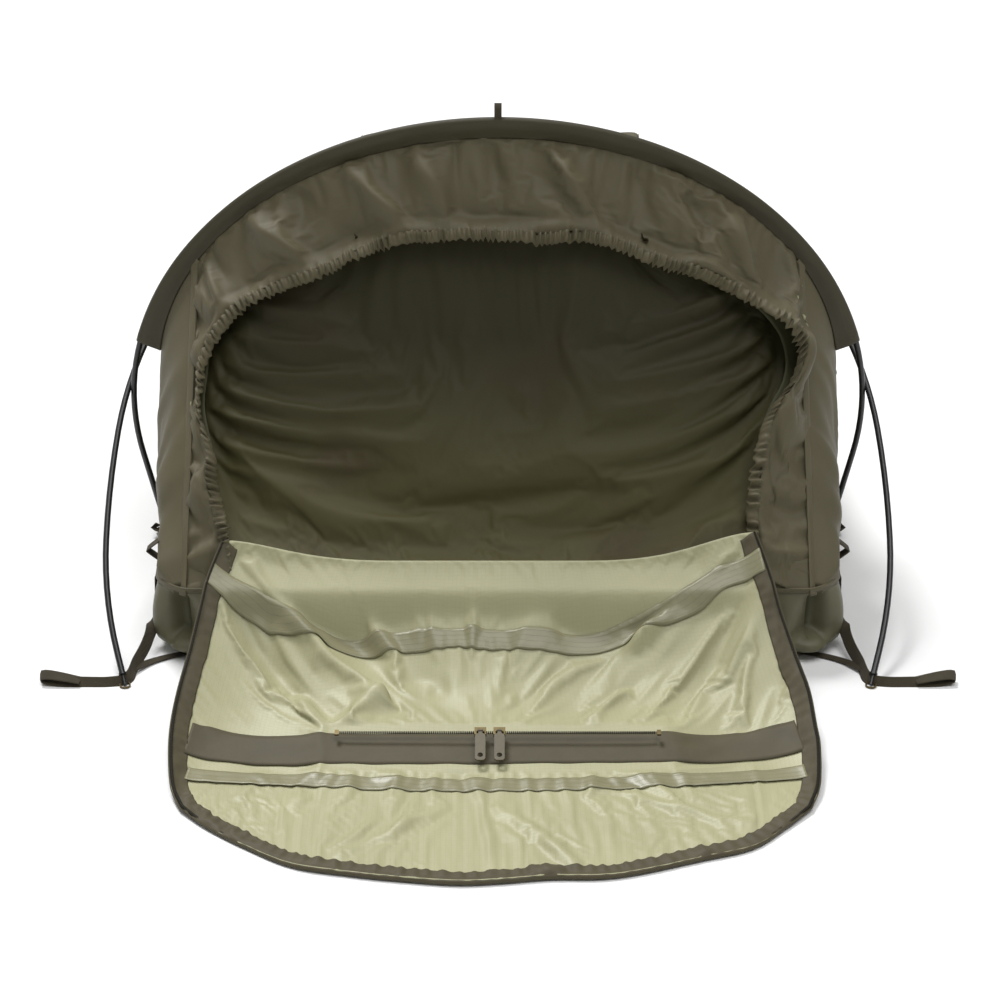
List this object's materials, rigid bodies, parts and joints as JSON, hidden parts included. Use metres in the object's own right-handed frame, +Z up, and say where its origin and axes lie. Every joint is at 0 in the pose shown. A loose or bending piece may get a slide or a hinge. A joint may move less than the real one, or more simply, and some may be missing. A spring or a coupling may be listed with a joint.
{
  "type": "bivy sack",
  "caption": "One-person hooped bivy sack: bathtub groundsheet, crossed pole hood, elastic storm visor, mosquito net doorway and zip-off door flap with vent.",
  "frame": {"origin": "centre of the groundsheet's underside, on the ground", "axes": "+Z up, +Y towards the foot end along the sleeper, doorway faces -Y, +X to the right of someone looking in at the doorway"},
  "size_m": [1.2218, 2.836, 0.6843],
  "materials": {
    "shell_fabric": "satin coated ripstop",
    "groundsheet_fabric": "satin coated",
    "sleeve_fabric": "satin",
    "lining_fabric": "satin ripstop",
    "binding_tape": "matt",
    "seam_tape": "satin",
    "net_mesh": "fine mesh",
    "webbing": "woven",
    "zip_coil": "matt",
    "pull_tab": "matt",
    "brass_hardware": "antique",
    "pole_black": "anodised",
    "bare_aluminium": "satin",
    "elastic_cord": "matt"
  },
  "bodies": {
    "shell": {"groundsheet_tub": "groundsheet_fabric", "side_panel_left": "shell_fabric", "side_panel_right": "shell_fabric", "sill_panel": "shell_fabric", "storm_visor": "shell_fabric", "hood_roof": "shell_fabric", "foot_canopy": "shell_fabric", "visor_elastic": "shell_fabric", "doorway_zip_tape": "binding_tape", "tub_seam_tape": "binding_tape", "front_pole_tubes": "pole_black", "front_pole_ferrules": "bare_aluminium", "front_pole_tips": "bare_aluminium", "front_pole_shock_cord": "elastic_cord", "front_pole_sleeve": "sleeve_fabric", "rear_pole_tubes": "pole_black", "rear_pole_ferrules": "bare_aluminium", "rear_pole_tips": "bare_aluminium", "rear_pole_shock_cord": "elastic_cord", "rear_pole_sleeve": "sleeve_fabric", "front_peg_strap_left": "webbing", "front_peg_strap_right": "webbing", "rear_peg_strap_left": "webbing", "rear_peg_strap_right": "webbing", "strap_eyelets": "brass_hardware", "foot_peg_loop_left": "webbing", "foot_peg_loop_right": "webbing", "ridge_guy_loop": "webbing", "side_guy_tab_left": "webbing", "side_guy_tab_right": "webbing"},
    "door": {"door_panel": "lining_fabric", "door_zip_tape": "binding_tape", "door_zip_coil": "zip_coil", "vent_band": "binding_tape", "vent_zip_coil": "zip_coil", "vent_zip_stops": "zip_coil", "door_seam_tape_upper": "seam_tape", "door_seam_tape_lower": "seam_tape"},
    "slider_left": {"vent_slider_left": "brass_hardware"},
    "slider_right": {"vent_slider_right": "brass_hardware"},
    "pull_left": {"vent_pull_left": "pull_tab"},
    "pull_right": {"vent_pull_right": "pull_tab"},
    "net": {"mosquito_net": "net_mesh", "net_zip_tape": "binding_tape"}
  },
  "joints": [
    {"name": "door_fold", "type": "hinge", "parent": "shell", "child": "door", "pos_m": [0, -1.12, 0.138], "axis": [-1, 0, 0], "range_deg": [0, 126]},
    {"name": "net_fold", "type": "hinge", "parent": "shell", "child": "net", "pos_m": [0, -1.1025, 0.1415], "axis": [1, 0, 0], "range_deg": [-68, 0]},
    {"name": "vent_slide_left", "type": "slide", "parent": "door", "child": "slider_left", "axis": [-1, 0, 0], "range_m": [0, 0.168]},
    {"name": "vent_slide_right", "type": "slide", "parent": "door", "child": "slider_right", "axis": [1, 0, 0], "range_m": [0, 0.188]},
    {"name": "vent_pull_turn_left", "type": "hinge", "parent": "slider_left", "child": "pull_left", "pos_m": [-0.022, -1.37336, 0.03844], "axis": [-1, 0, 0], "range_deg": [0, 100]},
    {"name": "vent_pull_turn_right", "type": "hinge", "parent": "slider_right", "child": "pull_right", "pos_m": [0.002, -1.37336, 0.03844], "axis": [-1, 0, 0], "range_deg": [0, 100]}
  ]
}
